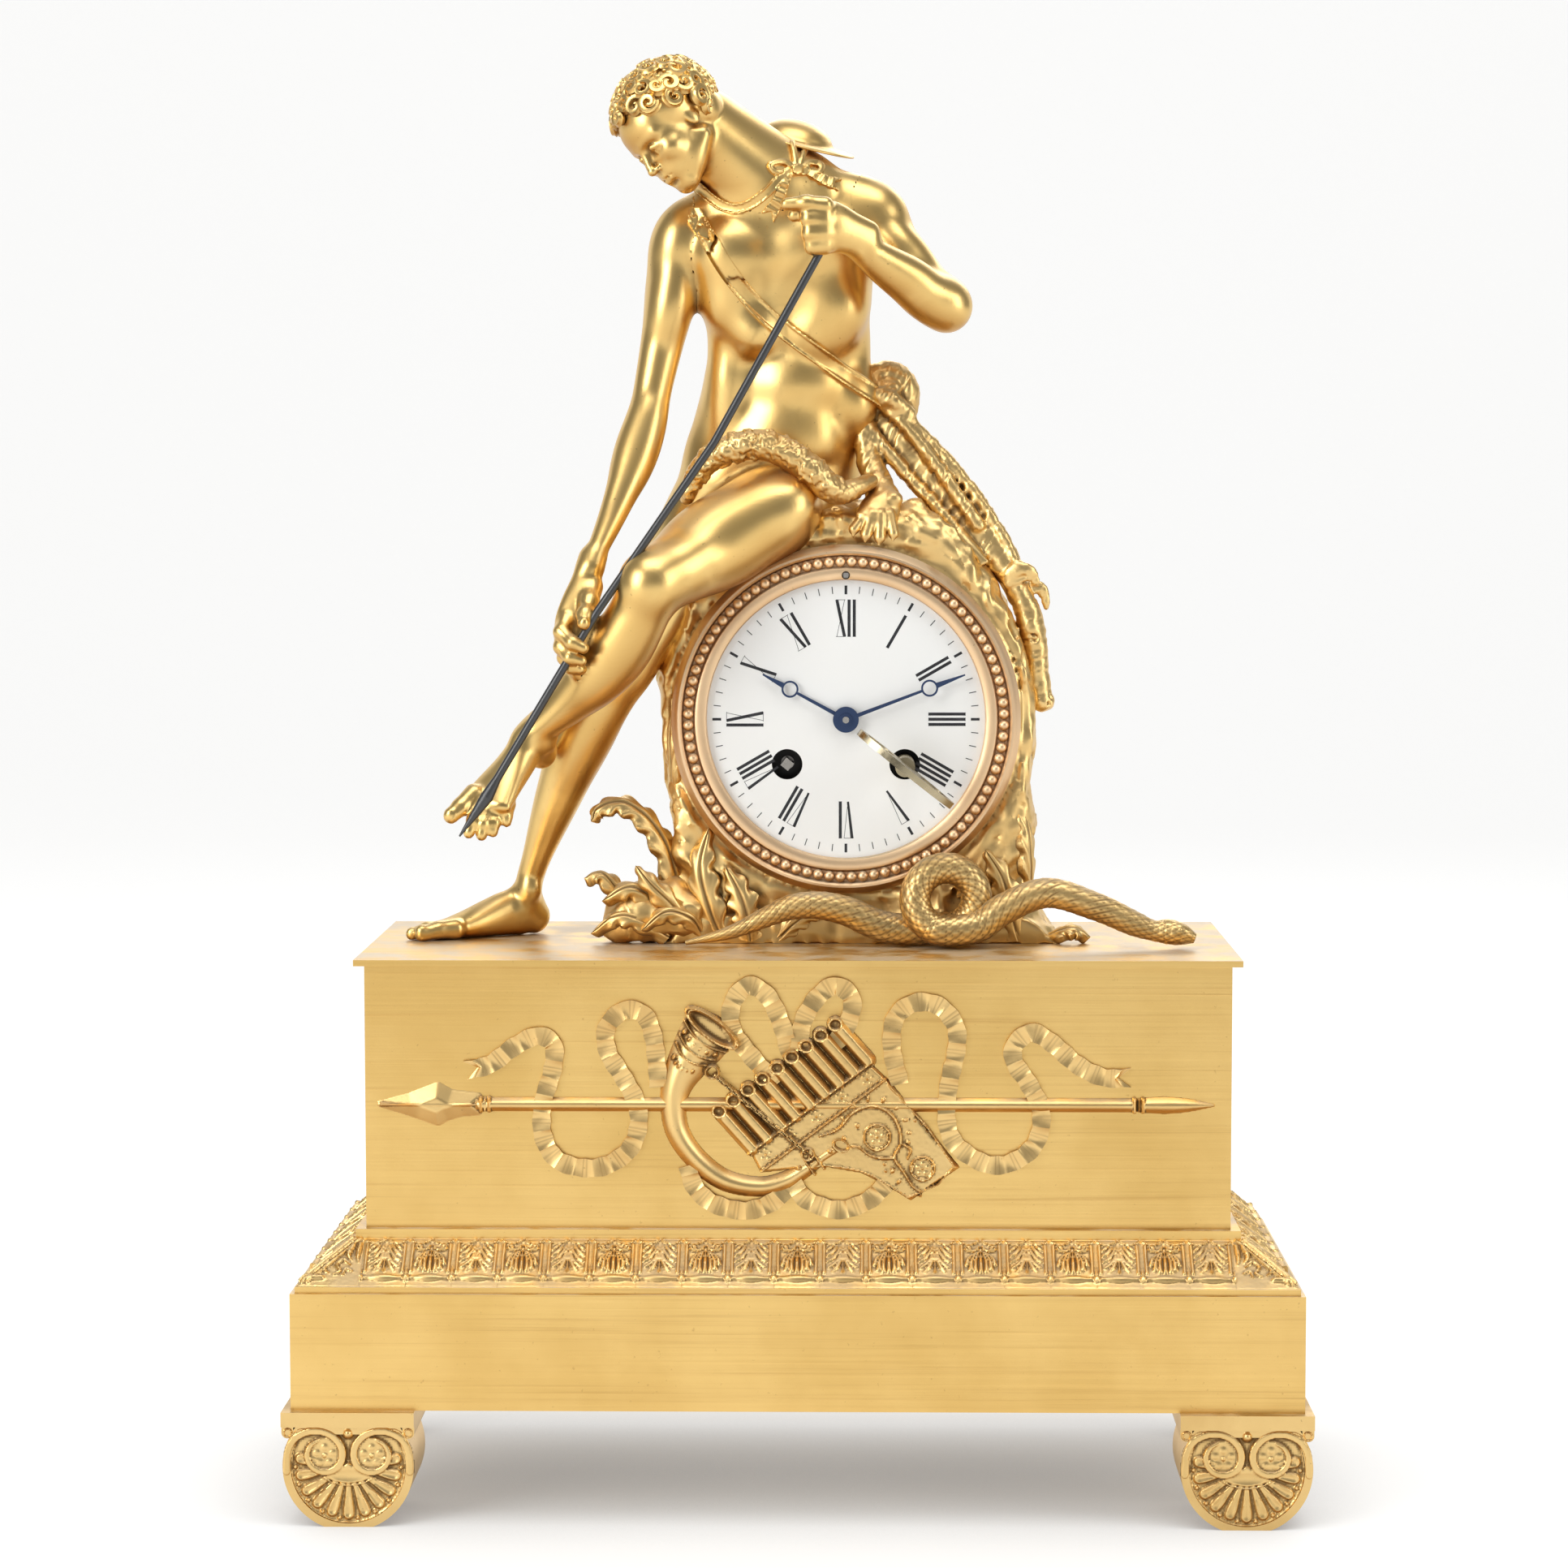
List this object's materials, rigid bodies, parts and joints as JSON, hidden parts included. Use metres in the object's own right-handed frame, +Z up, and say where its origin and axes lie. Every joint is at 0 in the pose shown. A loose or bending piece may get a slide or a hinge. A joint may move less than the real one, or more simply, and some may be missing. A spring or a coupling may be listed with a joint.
{
  "type": "figural mantel clock",
  "caption": "Gilt figural mantel clock: a hunter leans on a rock with a round enamel dial, above a relief pedestal with frieze and scroll feet.",
  "frame": {"origin": "centre of the footprint on the ground, under the feet", "axes": "+Z up, +X to the viewer's right, the dial and the trophy face -Y"},
  "size_m": [0.362, 0.158, 0.5226],
  "materials": {
    "gilt_bronze": "mercury gilding, matt and burnished",
    "pedestal_gilt": "satin gilding",
    "bezel_gilt": "worn red-toned gilding",
    "enamel": "gloss white enamel on copper",
    "blued_steel": "blued",
    "dark_steel": "dark patina",
    "movement_brass": "polished",
    "steel": "polished",
    "key_steel": "worn, warm-toned",
    "bell_metal": "turned"
  },
  "bodies": {
    "clock_case": {"plinth": "pedestal_gilt", "pedestal_box": "pedestal_gilt", "top_plate": "pedestal_gilt", "foot_front_left": "gilt_bronze", "foot_front_right": "gilt_bronze", "foot_rear_left": "gilt_bronze", "foot_rear_right": "gilt_bronze", "frieze": "gilt_bronze", "trophy_spear": "gilt_bronze", "trophy_horn": "gilt_bronze", "trophy_pipes": "gilt_bronze", "trophy_ribbon": "gilt_bronze", "rock_case": "gilt_bronze", "figure_torso": "gilt_bronze", "figure_head": "gilt_bronze", "figure_right_arm": "gilt_bronze", "figure_left_arm": "gilt_bronze", "figure_standing_leg": "gilt_bronze", "figure_crossed_leg": "gilt_bronze", "shoulder_strap": "gilt_bronze", "neck_ribbon": "gilt_bronze", "sun_hat": "gilt_bronze", "loin_pelt": "gilt_bronze", "animal_skin": "gilt_bronze", "snake": "gilt_bronze", "leaf_frond": "gilt_bronze", "bezel": "bezel_gilt", "dial": "enamel", "hunting_rod": "dark_steel", "foot_nuts": "dark_steel", "tie_rods": "dark_steel", "tie_rod_nuts": "dark_steel", "front_plate": "movement_brass", "back_plate": "movement_brass", "movement_pillars": "movement_brass", "rear_ring": "movement_brass", "straps": "movement_brass", "suspension_cock": "movement_brass", "door_hinge": "movement_brass", "strap_screws": "steel", "bell_stand": "steel", "bell_nut": "steel", "bell": "bell_metal"},
    "minute_train": {"centre_arbor": "steel", "minute_hand": "blued_steel", "hand_collet": "movement_brass"},
    "minute_wheel": {"minute_wheel": "movement_brass"},
    "hour_train": {"hour_wheel": "movement_brass", "hour_hand": "blued_steel"},
    "going_barrel": {"going_barrel": "movement_brass"},
    "going_arbor": {"going_arbor": "steel"},
    "strike_barrel": {"strike_barrel": "movement_brass"},
    "strike_arbor": {"strike_arbor": "steel"},
    "key": {"winding_key": "key_steel"},
    "regulator": {"regulator_arbor": "steel"},
    "pendulum": {"pendulum_rod": "movement_brass", "pendulum_bob": "movement_brass", "anchor": "steel"},
    "hammer": {"hammer": "steel"},
    "rear_door": {"rear_door": "movement_brass"}
  },
  "joints": [
    {"name": "going_barrel_turn", "type": "hinge", "parent": "clock_case", "child": "going_barrel", "pos_m": [-0.0045, 0, 0.2637], "axis": [0, 1, 0], "range_deg": [-7.6, 48.3]},
    {"name": "minute_hand_turn", "type": "hinge", "parent": "clock_case", "child": "minute_train", "pos_m": [0.017, 0, 0.2802], "axis": [0, 1, 0], "range_deg": [-290, 46]},
    {"name": "minute_wheel_turn", "type": "hinge", "parent": "clock_case", "child": "minute_wheel", "pos_m": [0.017, 0, 0.2922], "axis": [0, 1, 0], "range_deg": [-16, 97]},
    {"name": "hour_hand_turn", "type": "hinge", "parent": "clock_case", "child": "hour_train", "pos_m": [0.017, 0, 0.2802], "axis": [0, 1, 0], "range_deg": [-25, 4]},
    {"name": "going_arbor_turn", "type": "hinge", "parent": "clock_case", "child": "going_arbor", "pos_m": [-0.0045, 0, 0.2637], "axis": [0, 1, 0], "continuous": true},
    {"name": "strike_barrel_turn", "type": "hinge", "parent": "clock_case", "child": "strike_barrel", "pos_m": [0.0385, 0, 0.2637], "axis": [0, 1, 0], "continuous": true},
    {"name": "strike_arbor_turn", "type": "hinge", "parent": "clock_case", "child": "strike_arbor", "pos_m": [0.0385, 0, 0.2637], "axis": [0, 1, 0], "continuous": true},
    {"name": "key_pull", "type": "slide", "parent": "strike_arbor", "child": "key", "axis": [0, -1, 0], "range_m": [0, 0.02]},
    {"name": "regulator_turn", "type": "hinge", "parent": "clock_case", "child": "regulator", "pos_m": [0.017, 0, 0.3328], "axis": [0, 1, 0], "range_deg": [-360, 360]},
    {"name": "pendulum_swing", "type": "hinge", "parent": "clock_case", "child": "pendulum", "pos_m": [0.017, 0.05, 0.3212], "axis": [0, 1, 0], "range_deg": [-4, 4]},
    {"name": "hammer_lift", "type": "hinge", "parent": "clock_case", "child": "hammer", "pos_m": [-0.021, 0.057, 0.2962], "axis": [0, 1, 0], "range_deg": [0, 12], "stiffness_Nm_per_rad": 0.002, "springref_deg": -11.46},
    {"name": "rear_door_swing", "type": "hinge", "parent": "clock_case", "child": "rear_door", "pos_m": [0.0646, 0.06795, 0.2802], "axis": [0, 0, -1], "range_deg": [0, 110]}
  ],
  "couplings": [
    {"joint": "minute_hand_turn", "follows": "going_barrel_turn", "ratio": -6},
    {"joint": "minute_wheel_turn", "follows": "going_barrel_turn", "ratio": 2},
    {"joint": "hour_hand_turn", "follows": "going_barrel_turn", "ratio": -0.5}
  ]
}
